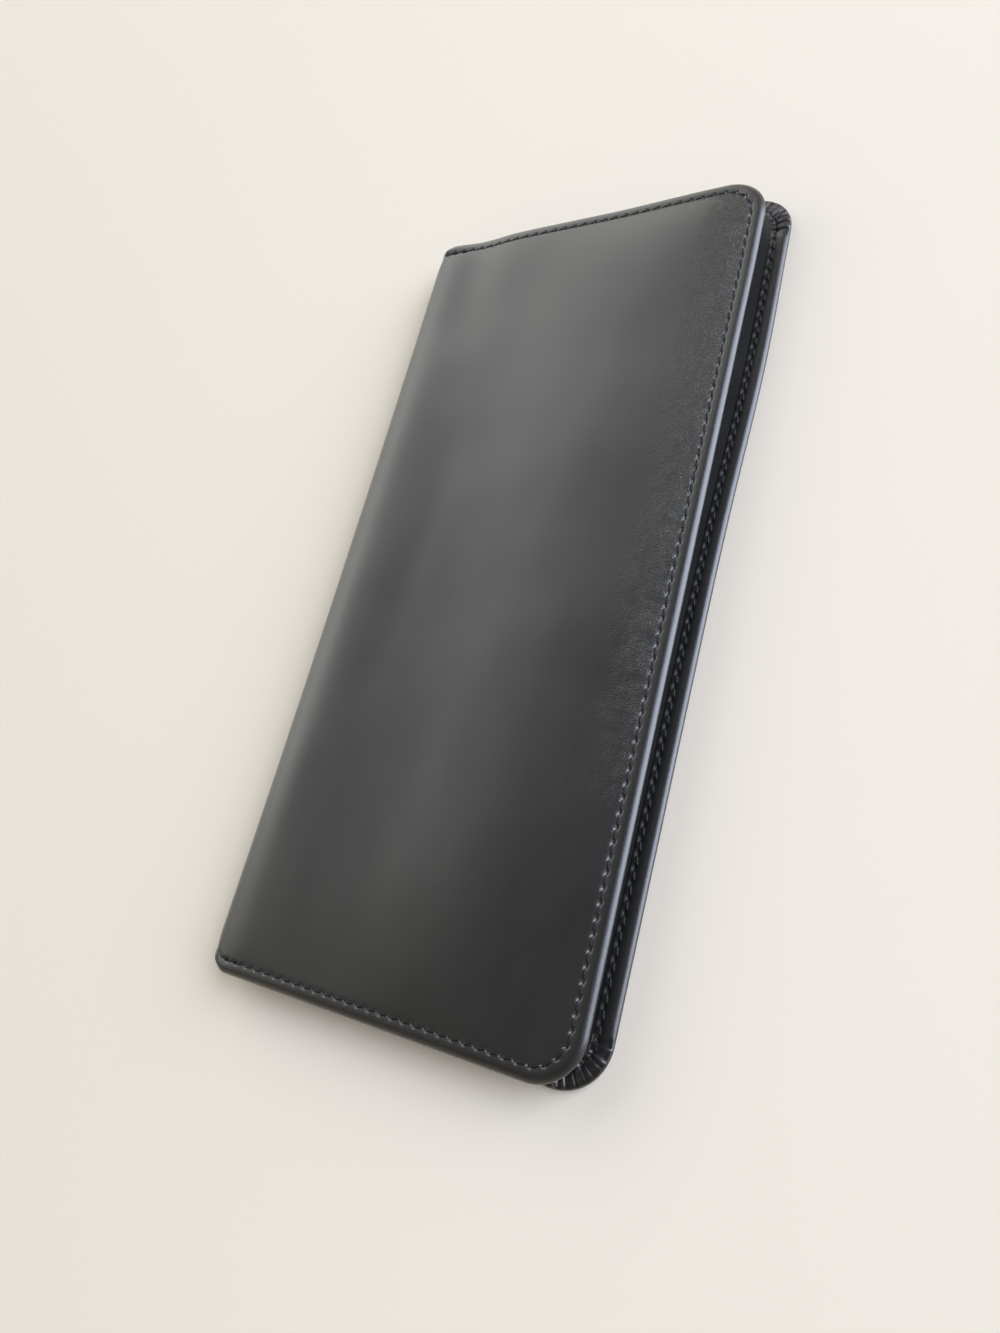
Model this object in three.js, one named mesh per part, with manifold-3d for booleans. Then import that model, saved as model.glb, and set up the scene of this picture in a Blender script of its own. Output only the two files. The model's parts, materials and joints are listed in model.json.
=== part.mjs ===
// A long bifold travel wallet in black leather, closed and lying on its back cover.
// Millimetres, +Z up. The spine runs along Y on the -X side and the free edges are on the +X side.
// The origin is the centre of the bottom of the closed wallet's box.

import * as THREE from "three";
import { mergeVertices } from "three/addons/utils/BufferGeometryUtils.js";
import Module from "manifold-3d";

const wasm = await Module();
wasm.setup();

const { degToRad } = THREE.MathUtils;

// Driving dimensions of the closed wallet
const leafLength = 230;
const leafWidth = 102.6; // the flat part of a leaf, from the spine's roll to the free edge
const closedHeight = 9.6;
const cornerRadius = 10.5;
const leafShift = 3.6; // the front leaf lies this far back from the back leaf's free edge

// Sheet thicknesses
const hide = 0.8;
const hem = 0.7; // the hide is pared thinner where it is turned over
const board = 0.7;
const lining = 0.3;
const pocketLeather = 0.6;
const cardLeather = 0.45;
const glueLine = 0.05;

// Turned edge of each cover
const rimHeight = 2.6;
const rimRoll = 1.2;
const hemWidth = 5;
const tucksPerCorner = 8;
const tuckWidth = 0.8;
const tuckDepth = 0.35;

// Spine: a wide roll off the back leaf runs into a tight one onto the front leaf
const wideTurn = degToRad(70);
const frontFoldTurn = degToRad(55); // how far the tight roll turns between the front leaf and its fold line
const foldGap = 0.25;

// Insets from a leaf's outer edge, and starts from the spine's roll
const rimInset = 1.2;
const slipRampInset = 5.1;
const slipRamp = 1.1;
const liningRampInset = 5.9;
const liningRamp = 0.6;
const liningStart = 0.5;
const boardInset = 6.9;
const boardStart = 1.8;

// Pockets: what each one takes, and where it is sewn
const slipGap = 0.3; // a boarding pass, or a banknote
const slipMouth = 3;
const passportGap = 3;
const passportLength = 134;
const passportMouth = 11;
const passportRamp = 2;
const cardGap = 0.8;
const cardRamp = 0.8;
const cardSlotDepths = { card_slot_rear: 74, card_slot_middle: 60, card_slot_front: 46 };
const patchInset = 6.6;
const patchSeam = 2;
const patchCorner = 3;

// Facets
const cornerSteps = 8;
const rimSteps = 4;
const rampSteps = 3;
const spineSteps = 10;

const overrun = 12; // outlines run this far past an open side, where they are then cut off
const beyond = 20; // cutters reach this far past every leaf

const hideFinish = new THREE.MeshStandardMaterial({ color: "#1d1d1f", roughness: 0.45, metalness: 0 });
const pocketFinish = new THREE.MeshStandardMaterial({ color: "#212123", roughness: 0.5, metalness: 0 });
const liningFinish = new THREE.MeshStandardMaterial({ color: "#18191c", roughness: 0.8, metalness: 0 });
const boardFinish = new THREE.MeshStandardMaterial({ color: "#6d5c4a", roughness: 0.9, metalness: 0 });

// Solids and pieces

function solidOf(geometry) {
  const bare = geometry.clone();
  bare.deleteAttribute("normal");
  bare.deleteAttribute("uv");
  const merged = mergeVertices(bare);
  return new wasm.Manifold(
    new wasm.Mesh({
      numProp: 3,
      vertProperties: merged.attributes.position.array,
      triVerts: new Uint32Array(merged.index.array),
    }),
  );
}

function pieceOf(name, solid, material) {
  const { vertProperties, triVerts } = solid.getMesh();
  const geometry = new THREE.BufferGeometry();
  geometry.setAttribute("position", new THREE.BufferAttribute(vertProperties, 3));
  geometry.setIndex(new THREE.BufferAttribute(triVerts, 1));
  geometry.computeVertexNormals();
  const mesh = new THREE.Mesh(geometry, material);
  mesh.name = name;
  return mesh;
}

function block(low, high) {
  const size = high.map((value, axis) => value - low[axis]);
  const centre = high.map((value, axis) => (value + low[axis]) / 2);
  return solidOf(new THREE.BoxGeometry(...size).translate(...centre));
}

// A flat sheet of the given outline between two heights.
function slab(outline, low, high) {
  const geometry = new THREE.ExtrudeGeometry(outline, {
    depth: high - low,
    bevelEnabled: false,
    curveSegments: cornerSteps,
  });
  return solidOf(geometry.translate(0, 0, low));
}

// A slab whose top and bottom edges are drawn in by a round of the given width and height.
function roundedSlab(outline, low, high, width, height, steps) {
  const geometry = new THREE.ExtrudeGeometry(outline, {
    depth: high - low - 2 * height,
    bevelEnabled: true,
    bevelThickness: height,
    bevelSize: width,
    bevelOffset: -width,
    bevelSegments: steps,
    curveSegments: cornerSteps,
  });
  return solidOf(geometry.translate(0, 0, low + height));
}

// A section in the XZ plane, run along the spine and centred on it.
function runAlongSpine(section, length) {
  const geometry = new THREE.ExtrudeGeometry(section, {
    depth: length,
    bevelEnabled: false,
    curveSegments: spineSteps,
  });
  return solidOf(geometry.rotateX(Math.PI / 2).translate(0, length / 2, 0));
}

// A hide section over the whole length, with a deeper section where its hem is turned in at both ends.
function withEndHems(section, hemSection) {
  const turnedHem = runAlongSpine(hemSection, hemWidth);
  const toEnd = (leafLength - hemWidth) / 2;
  return runAlongSpine(section, leafLength)
    .add(turnedHem.translate([0, toEnd, 0]))
    .add(turnedHem.translate([0, -toEnd, 0]));
}

// A sheet that is seated along its border and swells over a ramp to a level middle.
function swelledSheet({ border, foot, seat, rise, ramp, thickness }) {
  const bottom = seat - 2 * rise - thickness;
  const form = (drop) => {
    const top = seat + thickness - drop;
    const middle = roundedSlab(foot, bottom - drop, top + rise, ramp, rise, rampSteps);
    return slab(border, bottom - drop, top).add(middle);
  };
  return form(0).subtract(form(thickness));
}

// Outlines in a leaf's own frame: u from the spine's roll to the free edge, v along the spine

// The leaf's outline drawn in by an inset: square at the spine, round at the two free corners.
function leafOutline(inset, start) {
  const right = leafWidth - inset;
  const half = leafLength / 2 - inset;
  const radius = cornerRadius - inset;
  const outline = new THREE.Shape();
  outline.moveTo(start, -half);
  outline.lineTo(right - radius, -half);
  outline.absarc(right - radius, radius - half, radius, -Math.PI / 2, 0);
  outline.lineTo(right, half - radius);
  outline.absarc(right - radius, half - radius, radius, 0, Math.PI / 2);
  outline.lineTo(start, half);
  outline.closePath();
  return outline;
}

// A patch with round corners.
function patchOutline(u0, u1, v0, v1) {
  const [left, right] = [u0 + patchCorner, u1 - patchCorner];
  const [near, far] = [v0 + patchCorner, v1 - patchCorner];
  const outline = new THREE.Shape();
  outline.absarc(left, near, patchCorner, Math.PI, 1.5 * Math.PI);
  outline.absarc(right, near, patchCorner, 1.5 * Math.PI, 2 * Math.PI);
  outline.absarc(right, far, patchCorner, 0, Math.PI / 2);
  outline.absarc(left, far, patchCorner, Math.PI / 2, Math.PI);
  outline.closePath();
  return outline;
}

// Heights of the layers above a leaf's outer face
const boardSeat = hide + glueLine;
const liningTop = boardSeat + board + glueLine + lining;
const slipSeat = boardSeat + lining + glueLine;
const slipTop = liningTop + slipGap + pocketLeather;
const hemSeat = rimHeight - hem;
const patchSeat = slipTop + glueLine;

// The spine's section: both rolls meet where the leather leans by the wide turn

const lean = leafShift / Math.sin(wideTurn);
const tightRadius = (closedHeight - hide - lean * (1 - Math.cos(wideTurn))) / 2;
const wideRadius = tightRadius + lean;
const wideCentre = new THREE.Vector2(0, hide / 2 + wideRadius);
const tightCentre = new THREE.Vector2(-leafShift, closedHeight - hide / 2 - tightRadius);
const meetAngle = 1.5 * Math.PI - wideTurn;

// Both fold lines stand equally high above their leaf, so that the leaves open flat.
const backFoldTurn = Math.acos(1 - (tightRadius / wideRadius) * (1 - Math.cos(frontFoldTurn)));
const backFoldAngle = 1.5 * Math.PI - backFoldTurn;
const frontFoldAngle = Math.PI / 2 + frontFoldTurn;
const foldClearance = hide / 2 + foldGap;

// The band of the spine between two depths below its outer face, held back from both fold lines.
function spineBand(depth, innerDepth, trim) {
  const backEnd = backFoldAngle - trim / wideRadius;
  const frontEnd = frontFoldAngle + trim / tightRadius;
  const wide = (level) => wideRadius + hide / 2 - level;
  const tight = (level) => tightRadius + hide / 2 - level;
  const band = new THREE.Shape();
  band.absarc(wideCentre.x, wideCentre.y, wide(depth), backEnd, meetAngle, true);
  band.absarc(tightCentre.x, tightCentre.y, tight(depth), meetAngle, frontEnd, true);
  band.absarc(tightCentre.x, tightCentre.y, tight(innerDepth), frontEnd, meetAngle, false);
  band.absarc(wideCentre.x, wideCentre.y, wide(innerDepth), meetAngle, backEnd, false);
  band.closePath();
  return band;
}

// A round edge of the hide, centred on a fold line.
function foldEdge(centre, radius, angle) {
  const edge = new THREE.Shape();
  edge.absarc(
    centre.x + radius * Math.cos(angle),
    centre.y + radius * Math.sin(angle),
    hide / 2,
    0,
    2 * Math.PI,
  );
  return runAlongSpine(edge, leafLength);
}

function spineHide() {
  return withEndHems(spineBand(0, hide, 0), spineBand(0, rimHeight, foldClearance))
    .add(foldEdge(wideCentre, wideRadius, backFoldAngle))
    .add(foldEdge(tightCentre, tightRadius, frontFoldAngle));
}

function spineLining() {
  const band = spineBand(hide + glueLine, hide + glueLine + lining, foldClearance);
  return runAlongSpine(band, leafLength - 2 * (hemWidth + foldGap));
}

// Covers

// The part of a leaf's hide that follows the spine's roll up to the fold line.
function rolledHide(radius, turn) {
  const end = 1.5 * Math.PI - turn + foldClearance / radius;
  const section = (depth) => {
    const roll = new THREE.Shape();
    roll.moveTo(foldGap, 0);
    roll.absarc(0, hide / 2 + radius, hide / 2 + radius, 1.5 * Math.PI, end, true);
    roll.absarc(0, hide / 2 + radius, hide / 2 + radius - depth, end, 1.5 * Math.PI, false);
    roll.lineTo(foldGap, depth);
    roll.closePath();
    return roll;
  };
  return withEndHems(section(hide), section(rimHeight));
}

// The turned edge gathers into tucks round a free corner, cut as V grooves in the hem's face.
function cornerTucks(side) {
  const groove = new THREE.Shape();
  groove.moveTo(-tuckWidth / 2, tuckDepth);
  groove.lineTo(0, -tuckDepth);
  groove.lineTo(tuckWidth / 2, tuckDepth);
  groove.closePath();
  const length = hemWidth + 2 * tuckWidth;
  const cutter = new THREE.ExtrudeGeometry(groove, { depth: length, bevelEnabled: false });
  cutter.rotateX(Math.PI / 2).translate(0, length - cornerRadius - tuckWidth, 0).rotateZ(Math.PI / 2);
  const spacing = Math.PI / 2 / tucksPerCorner;
  return Array.from({ length: tucksPerCorner }, (_, index) => {
    const tuck = cutter.clone().rotateZ(side * spacing * (index + 0.5));
    const centre = [leafWidth - cornerRadius, side * (leafLength / 2 - cornerRadius)];
    return solidOf(tuck.translate(...centre, rimHeight));
  });
}

// The hide of one leaf: outer face, round rim, the hem turned in on three sides, and the start of the roll.
function coverHide(rollRadius, rollTurn) {
  const start = -overrun;
  const turned = roundedSlab(leafOutline(0, start), 0, rimHeight, rimRoll, rimRoll, rimSteps)
    .subtract(slab(leafOutline(hide, start - 1), hide, hemSeat))
    .subtract(slab(leafOutline(hemWidth, start - 1), hide, beyond))
    .subtract(block([-beyond, -leafLength, -beyond], [0, leafLength, beyond]));
  const tucked = [...cornerTucks(1), ...cornerTucks(-1)].reduce(
    (cover, tuck) => cover.subtract(tuck),
    turned,
  );
  return tucked.add(rolledHide(rollRadius, rollTurn));
}

// Layers inside a leaf

function stiffener() {
  return slab(leafOutline(boardInset, boardStart), boardSeat, boardSeat + board);
}

function leafLining() {
  return swelledSheet({
    border: leafOutline(rimInset, liningStart),
    foot: leafOutline(liningRampInset, boardStart - liningRamp - glueLine),
    seat: boardSeat,
    rise: board + glueLine,
    ramp: liningRamp,
    thickness: lining,
  });
}

// The full-length pocket: sewn under the hem on three sides, open towards the spine.
function slipPocket() {
  const sheet = swelledSheet({
    border: leafOutline(rimInset, slipMouth - overrun),
    foot: leafOutline(slipRampInset, slipMouth - overrun),
    seat: slipSeat,
    rise: slipTop - slipSeat - pocketLeather,
    ramp: slipRamp,
    thickness: pocketLeather,
  });
  return sheet.subtract(block([-beyond, -leafLength, -beyond], [slipMouth, leafLength, beyond]));
}

// A patch sewn to the slip pocket on three sides, open towards the spine.
function passportPocket() {
  const right = leafWidth - patchInset;
  const far = leafLength / 2 - patchInset;
  const near = far - passportLength;
  const left = passportMouth - overrun;
  const sheet = swelledSheet({
    border: patchOutline(left, right, near, far),
    foot: patchOutline(left + patchSeam, right - patchSeam, near + patchSeam, far - patchSeam),
    seat: patchSeat,
    rise: passportGap - glueLine,
    ramp: passportRamp,
    thickness: pocketLeather,
  });
  return sheet.subtract(block([-beyond, -leafLength, -beyond], [passportMouth, leafLength, beyond]));
}

// One tier of the card slots, sewn on three sides over the tier behind it, its mouth across the leaf.
function cardSlot(depth, tier) {
  const right = leafWidth - patchInset;
  const bottom = leafLength / 2 - patchInset;
  const mouth = bottom - depth;
  const past = mouth - overrun;
  const seam = patchSeam - cardRamp;
  const sheet = swelledSheet({
    border: patchOutline(slipMouth, right, past, bottom),
    foot: patchOutline(slipMouth + seam, right - seam, past + seam, bottom - seam),
    seat: patchSeat + tier * (cardLeather + glueLine),
    rise: (tier + 1) * (cardGap - glueLine),
    ramp: cardRamp,
    thickness: cardLeather,
  });
  return sheet.subtract(block([-beyond, past - beyond, -beyond], [leafWidth, mouth, beyond]));
}

// Assembly

const backLeaf = new THREE.Group();
backLeaf.add(
  pieceOf("back_cover", coverHide(wideRadius, backFoldTurn), hideFinish),
  pieceOf("back_board", stiffener(), boardFinish),
  pieceOf("back_lining", leafLining(), liningFinish),
  pieceOf("boarding_pass_pocket", slipPocket(), pocketFinish),
  pieceOf("passport_pocket", passportPocket(), pocketFinish),
);

const spine = new THREE.Group();
spine.add(
  pieceOf("spine_hide", spineHide(), hideFinish),
  pieceOf("spine_lining", spineLining(), liningFinish),
);

// The front leaf is built on its outer face, as the back leaf is, and turned over onto it.
const frontLeaf = new THREE.Group();
frontLeaf.add(
  pieceOf("front_cover", coverHide(tightRadius, frontFoldTurn), hideFinish),
  pieceOf("front_board", stiffener(), boardFinish),
  pieceOf("front_lining", leafLining(), liningFinish),
  pieceOf("banknote_pocket", slipPocket(), pocketFinish),
  ...Object.entries(cardSlotDepths).map(([name, depth], tier) =>
    pieceOf(name, cardSlot(depth, tier), pocketFinish),
  ),
);
frontLeaf.position.set(-leafShift, 0, closedHeight);
frontLeaf.rotation.x = Math.PI;

// The closed wallet's box, from the spine's outer face to the back leaf's free edge, is centred on X.
const spineFace = tightCentre.x - tightRadius - hide / 2;
const wallet = new THREE.Group();
wallet.add(backLeaf, spine, frontLeaf);
wallet.position.x = -(spineFace + leafWidth) / 2;

export default wallet;
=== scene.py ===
import json
import math
import bpy
import numpy as np
from mathutils import Matrix, Vector


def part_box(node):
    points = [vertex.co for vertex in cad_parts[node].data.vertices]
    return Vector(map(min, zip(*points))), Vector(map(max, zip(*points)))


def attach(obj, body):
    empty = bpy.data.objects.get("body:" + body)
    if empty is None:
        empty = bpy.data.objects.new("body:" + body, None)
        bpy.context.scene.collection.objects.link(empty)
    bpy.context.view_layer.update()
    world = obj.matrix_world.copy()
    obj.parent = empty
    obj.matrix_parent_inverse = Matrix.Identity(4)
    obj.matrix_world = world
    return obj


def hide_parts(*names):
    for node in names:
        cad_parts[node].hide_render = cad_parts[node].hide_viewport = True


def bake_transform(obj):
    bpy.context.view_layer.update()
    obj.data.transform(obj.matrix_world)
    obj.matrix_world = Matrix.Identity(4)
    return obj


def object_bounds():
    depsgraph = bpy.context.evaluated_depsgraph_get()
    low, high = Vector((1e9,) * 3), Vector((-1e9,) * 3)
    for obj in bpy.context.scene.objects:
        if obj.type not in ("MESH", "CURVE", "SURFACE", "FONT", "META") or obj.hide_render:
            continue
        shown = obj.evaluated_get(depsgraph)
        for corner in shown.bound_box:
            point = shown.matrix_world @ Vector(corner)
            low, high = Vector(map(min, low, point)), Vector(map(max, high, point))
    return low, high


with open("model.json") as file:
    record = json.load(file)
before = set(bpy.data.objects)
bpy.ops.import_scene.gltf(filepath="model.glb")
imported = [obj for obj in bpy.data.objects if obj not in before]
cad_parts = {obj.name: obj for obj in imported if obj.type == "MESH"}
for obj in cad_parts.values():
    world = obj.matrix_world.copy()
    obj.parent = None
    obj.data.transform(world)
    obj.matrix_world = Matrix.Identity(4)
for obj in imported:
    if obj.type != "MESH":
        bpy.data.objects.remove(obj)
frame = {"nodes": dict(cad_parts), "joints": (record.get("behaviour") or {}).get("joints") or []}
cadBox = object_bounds()
print("frame loaded with", len(frame["nodes"]), "nodes")

mm = 0.001


def boxOf(node):
    low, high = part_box(node)
    return np.array(low) / mm, np.array(high) / mm


# The wallet's measures in mm, as its solids have them
wallet = {
    "leafWidth": 102.6,     # the flat part of a leaf, from the spine's roll to the free edge
    "cornerRadius": 12.0,   # as the soft edge shows it, a little rounder than the solids
    "wideTurn": 70.0,       # degrees that the leather turns off the back leaf before the tight roll
    "hide": 0.8,
    "hem": 0.7,
    "rimHeight": 2.6,       # a leaf's edge with its hem, where the seam goes through
    "hemWidth": 5.0,
    "lining": 0.3,
    "liningSeat": 0.85,     # heights are above a leaf's outer face
    "boardTop": 1.6,
    "borderInset": 1.2,     # the linings' borders lie this far inside the rim
}
leafLength = float(np.ptp([corner[1] for corner in boxOf("back_cover")]))
closedHeight = (cadBox[1].z - cadBox[0].z) / mm
backEdge = boxOf("back_cover")[1][0]
frontEdge = boxOf("front_cover")[1][0]
leafShift = backEdge - frontEdge
wideTurn = math.radians(wallet["wideTurn"])
lean = leafShift / math.sin(wideTurn)
tightRadius = (closedHeight - wallet["hide"] - lean * (1 - math.cos(wideTurn))) / 2

# Each leaf's roll runs from the middle of the spine to the flat of the leaf. Its very edge takes up the
# depths from edgeFrom to edgeTo: the side that shows from above stays level and the other side tapers.
leaves = {
    "back": {
        "body": "back_leaf", "edge": backEdge, "radius": tightRadius + lean, "turn": wideTurn,
        "top": False, "seed": 3, "swellSeed": 3, "edgeFrom": 0.4, "edgeTo": 2.6, "edgeRound": 2.0,
    },
    "front": {
        "body": "front_leaf", "edge": frontEdge, "radius": tightRadius, "turn": math.pi - wideTurn,
        "top": True, "seed": 8, "swellSeed": 207, "edgeFrom": 0.0, "edgeTo": 2.1, "edgeRound": 1.7,
    },
}
for leaf in leaves.values():
    leaf["roll"] = leaf["radius"] * leaf["turn"]
backLeaf, frontLeaf = leaves["back"], leaves["front"]


def smooth(low, high, x):
    t = np.clip((x - low) / (high - low), 0, 1)
    return t * t * (3 - 2 * t)


# A sum of plane waves of about one length, for the unevenness of soft leather
def waves(x, y, length, seed, count=9):
    draw = np.random.RandomState(seed)
    total = 0
    for _ in range(count):
        heading = draw.uniform(0, math.pi)
        turns = 2 * math.pi / (length * draw.uniform(0.75, 1.4))
        phase = draw.uniform(0, 2 * math.pi)
        total = total + np.sin(turns * (x * math.cos(heading) + y * math.sin(heading)) + phase)
    return total / math.sqrt(count / 2)


# How the leaves lie in use, in mm
drape = {
    "skew": 0.0082,         # the front leaf's free edge is turned this much, as a slope
    "turn": 0.4,            # and lies this much further along
    "backReach": 1.2,       # the back leaf's far corner stands out this much more
    "backOut": 0.3,         # and its free edge this much
    "backBow": 1.2,         # with a slight bow towards the far end
    "bowAt": 62.0,
    "bowLength": 34.0,
    "farLift": 0.9,         # the front leaf's far end lifts towards the free corner
    "liftFrom": 54.0,
    "liftTo": 90.0,
    "liftReach": 30.0,
    "farDip": 1.0,          # and dips near the spine
    "dipAt": 12.0,
    "dipWidth": 9.0,
    "dipReach": 55.0,
    "nearPinch": 0.8,       # the spine's two ends draw in, their inside less than their outside
    "farPinch": 0.6,
    "pinchDepth": 3.0,
    "nearCut": 3.5,         # and their corners are rounded off this much at the spine
    "farCut": 2.0,
    "cutFrom": 3.4,         # from this far out on the flat of the leaf
    "cutOver": 5.0,
    "pinchReach": 10.0,
    "waist": 0.55,          # the spine is drawn in most here along its length
    "waistAt": -20.0,
    "flare": 1.95,          # and stands out this much more at its far end
    "farSkew": 2.6,         # the far end is cut this much out of square
}


# From a leaf's own sheet to the frame: a from the middle of the spine, v along it, depth from the outer face
def place(leaf, a, v, depth):
    u = a - leaf["roll"]
    turned = np.clip(-u / leaf["radius"], 0, None)
    towardsEnd = np.clip(np.abs(v) - (leafLength / 2 - drape["pinchReach"]), 0, None)
    drawn = (towardsEnd / drape["pinchReach"]) ** 1.5
    pinch = np.where(v < 0, drape["nearPinch"], drape["farPinch"])
    pinch = pinch * np.clip(1 - depth / drape["pinchDepth"], 0, 1)
    depth = depth + pinch * drawn * smooth(0.1, 1.0, turned)
    rounded = np.clip((drape["cutFrom"] - u) / drape["cutOver"], 0, 1) ** 2
    cut = np.where(v < 0, drape["nearCut"], -drape["farCut"]) * drawn * rounded
    centre = leaf["radius"] + wallet["hide"] / 2
    arm = centre - depth
    across = np.where(u >= 0, u, -arm * np.sin(turned))
    height = np.where(u >= 0, depth, centre - arm * np.cos(turned))
    x = leaf["edge"] - wallet["leafWidth"] + across
    share = np.clip(u / wallet["leafWidth"], 0, 1)
    away = (v - drape["waistAt"]) / (leafLength / 2 - drape["waistAt"])
    x = x + (drape["waist"] - drape["flare"] * away ** 2) * (1 - share) ** 2
    y = v + cut + drape["farSkew"] * (share - 0.5) * smooth(0, leafLength / 2, v)
    if leaf["top"]:
        x = x - drape["skew"] * v * share
        y = y + drape["turn"] * share
        fromFarEnd = v - leafLength / 2
        lifted = drape["farLift"] * smooth(drape["liftFrom"], drape["liftTo"], u)
        lifted = lifted * smooth(-drape["liftReach"], 0, fromFarEnd)
        dipped = drape["farDip"] * np.exp(-((u - drape["dipAt"]) / drape["dipWidth"]) ** 2)
        dipped = dipped * smooth(-drape["dipReach"], 0, fromFarEnd)
        height = closedHeight - height + lifted - dipped
    else:
        bow = drape["backBow"] * np.exp(-((v - drape["bowAt"]) / drape["bowLength"]) ** 2)
        x = x + (drape["backOut"] + bow) * share
        y = y + drape["backReach"] * share * smooth(0, leafLength / 2, v)
    return np.stack(np.broadcast_arrays(x, y, height), -1).reshape(-1, 3) * mm


# Mesh building

# A sheet sewn on three sides: p runs from its open side to the closed end, q along the open side
def outlineOf(sheet):
    reach, half, radius, stops = sheet["reach"], sheet["half"], sheet["radius"], np.asarray(sheet["stops"])
    turn = np.linspace(0, math.pi / 2, sheet["cornerSteps"] + 1)[1:]
    sine, cosine = np.sin(turn), np.cos(turn)
    across = np.linspace(radius - half, half - radius, sheet["endSteps"] + 1)[1:]
    flat, up = np.zeros_like(stops), np.ones_like(stops)
    runs = [
        (stops, -half * up, flat, up),
        (reach - radius + radius * sine, radius - half - radius * cosine, -sine, cosine),
        (np.full_like(across, reach), across, -np.ones_like(across), np.zeros_like(across)),
        (reach - radius + radius * cosine, half - radius + radius * sine, -cosine, -sine),
        (stops[-2::-1], half * up[1:], flat[1:], -up[1:]),
    ]
    joined = np.concatenate([np.stack(run, 1) for run in runs])
    return joined[:, :2], joined[:, 2:]


def faceGrid(sheet, inset, step):
    reach, half, radius = sheet["reach"], sheet["half"], sheet["radius"]
    stops = np.asarray(sheet["stops"])[::step]
    across = np.linspace(radius - half, half - radius, sheet["endSteps"] // step + 1)
    count = sheet["cornerSteps"] // step // 2
    patch = np.arange(1, count + 1) / count
    pp, qq = np.meshgrid(
        np.concatenate([np.zeros(len(stops)), patch]),
        np.concatenate([-patch[::-1], np.zeros(len(across)), patch]),
    )
    straightP = np.concatenate([stops, np.full(count, reach - radius)])
    straightQ = np.concatenate([np.full(count, radius - half), across, np.full(count, half - radius)])
    bend = radius - inset
    p = straightP[None, :] + bend * pp * np.sqrt(1 - qq ** 2 / 2)
    q = straightQ[:, None] + bend * qq * np.sqrt(1 - pp ** 2 / 2)
    return p, q


# The profile lists (inset, depth, step, skin) from the sheet's outer face round its edge to its inner face.
# Each is a ring along the three sewn sides; the first and last are the rims of the two face grids.
def sewnSheet(sheet, profile):
    base, inward = outlineOf(sheet)
    rows = {"p": [], "q": [], "depth": [], "inset": [], "station": [], "skin": [], "unrolled": []}
    faces, count = [], 0

    def add(p, q, depth, inset, station, skin, unrolled):
        nonlocal count
        values = np.broadcast_arrays(p, q, depth, inset, station, skin)
        for key, value in zip(rows, values):
            rows[key].append(np.ravel(value).astype(float))
        rows["unrolled"].append(np.stack(unrolled, -1).reshape(-1, 2))
        made = np.arange(count, count + values[0].size).reshape(values[0].shape)
        count += values[0].size
        return made

    def addGrid(inset, depth, step, skin, away):
        p, q = faceGrid(sheet, inset, step)
        toEdge = np.minimum(sheet["reach"] - p, sheet["half"] - np.abs(q))
        grid = add(p, q, depth, toEdge, -1, skin, (p + away, q))
        a, b, c, d = grid[:-1, :-1], grid[1:, :-1], grid[1:, 1:], grid[:-1, 1:]
        order = (a, d, c, b) if away else (a, b, c, d)
        faces.extend(np.stack([corner.ravel() for corner in order], 1).tolist())
        rim = np.concatenate([grid[0, :], grid[1:, -1], grid[-1, -2::-1]])
        return grid, rim

    faceSide, previous = addGrid(*profile[0], away=0)
    nearEnds, farEnds = [], []
    level, drawn, last = profile[0][2], profile[0][0], profile[0]
    for inset, depth, step, skin in profile[1:]:
        drawn -= math.hypot(inset - last[0], depth - last[1])
        last = (inset, depth)
        if (inset, depth, step, skin) == profile[-1]:
            backSide, ring = addGrid(inset, depth, step, skin, away=2 * sheet["reach"] + 50)
        else:
            spots, directions = base[::step], inward[::step]
            at = spots + inset * directions
            unrolled = spots + drawn * directions
            stations = np.arange(len(base))[::step]
            ring = add(at[:, 0], at[:, 1], depth, inset, stations, skin, (unrolled[:, 0], unrolled[:, 1]))
            nearEnds.append(ring[0])
            farEnds.append(ring[-1])
        if step == level:
            sides = (previous[:-1], previous[1:], ring[1:], ring[:-1])
        elif step < level:
            sides = (previous[:-1], previous[1:], ring[2::2], ring[1::2], ring[:-1:2])
        else:
            sides = (previous[:-1:2], previous[1::2], previous[2::2], ring[1:], ring[:-1])
        faces.extend(np.stack(sides, 1).tolist())
        previous, level = ring, step

    mouth = [*faceSide[::-1, 0], *nearEnds, *backSide[:, 0], *farEnds[::-1]]
    made = {key: np.concatenate(value) for key, value in rows.items()}
    made["faces"] = faces
    made["mouth"] = [int(spot) for spot in mouth]
    made["base"], made["inward"] = base, inward
    return made


def meshPiece(name, points, faces, flatFaces, attributes, material, mirrored):
    if mirrored:
        faces = [face[::-1] for face in faces]
        flatFaces = [face[::-1] for face in flatFaces]
    mesh = bpy.data.meshes.new(name)
    mesh.from_pydata(points.tolist(), [], faces + flatFaces)
    mesh.polygons.foreach_set("use_smooth", [True] * len(faces) + [False] * len(flatFaces))
    for key, values in attributes.items():
        values = np.asarray(values, np.float32)
        kind, slot = ("FLOAT", "value") if values.ndim == 1 else ("FLOAT_VECTOR", "vector")
        mesh.attributes.new(key, kind, "POINT").data.foreach_set(slot, values.ravel())
    mesh.materials.append(material)
    mesh.update()
    piece = bpy.data.objects.new(name, mesh)
    bpy.context.scene.collection.objects.link(piece)
    return piece


# Sheet coordinates in mm, so that a grain keeps to its sheet when the wallet opens
def flatCoordinates(made, seed):
    unrolled = made["unrolled"]
    return np.column_stack([unrolled + 37.0 * seed, np.full(len(unrolled), 11.0 * seed)])


# Materials

def linear(hexColour):
    channels = [int(hexColour[i:i + 2], 16) / 255 for i in (1, 3, 5)]
    return tuple(c / 12.92 if c <= 0.04045 else ((c + 0.055) / 1.055) ** 2.4 for c in channels) + (1.0,)


def fillSockets(tree, node, values, links):
    for socket, value in values.items():
        node.inputs[socket].default_value = value
    for socket, source in links.items():
        tree.links.new(source, node.inputs[socket])


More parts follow.
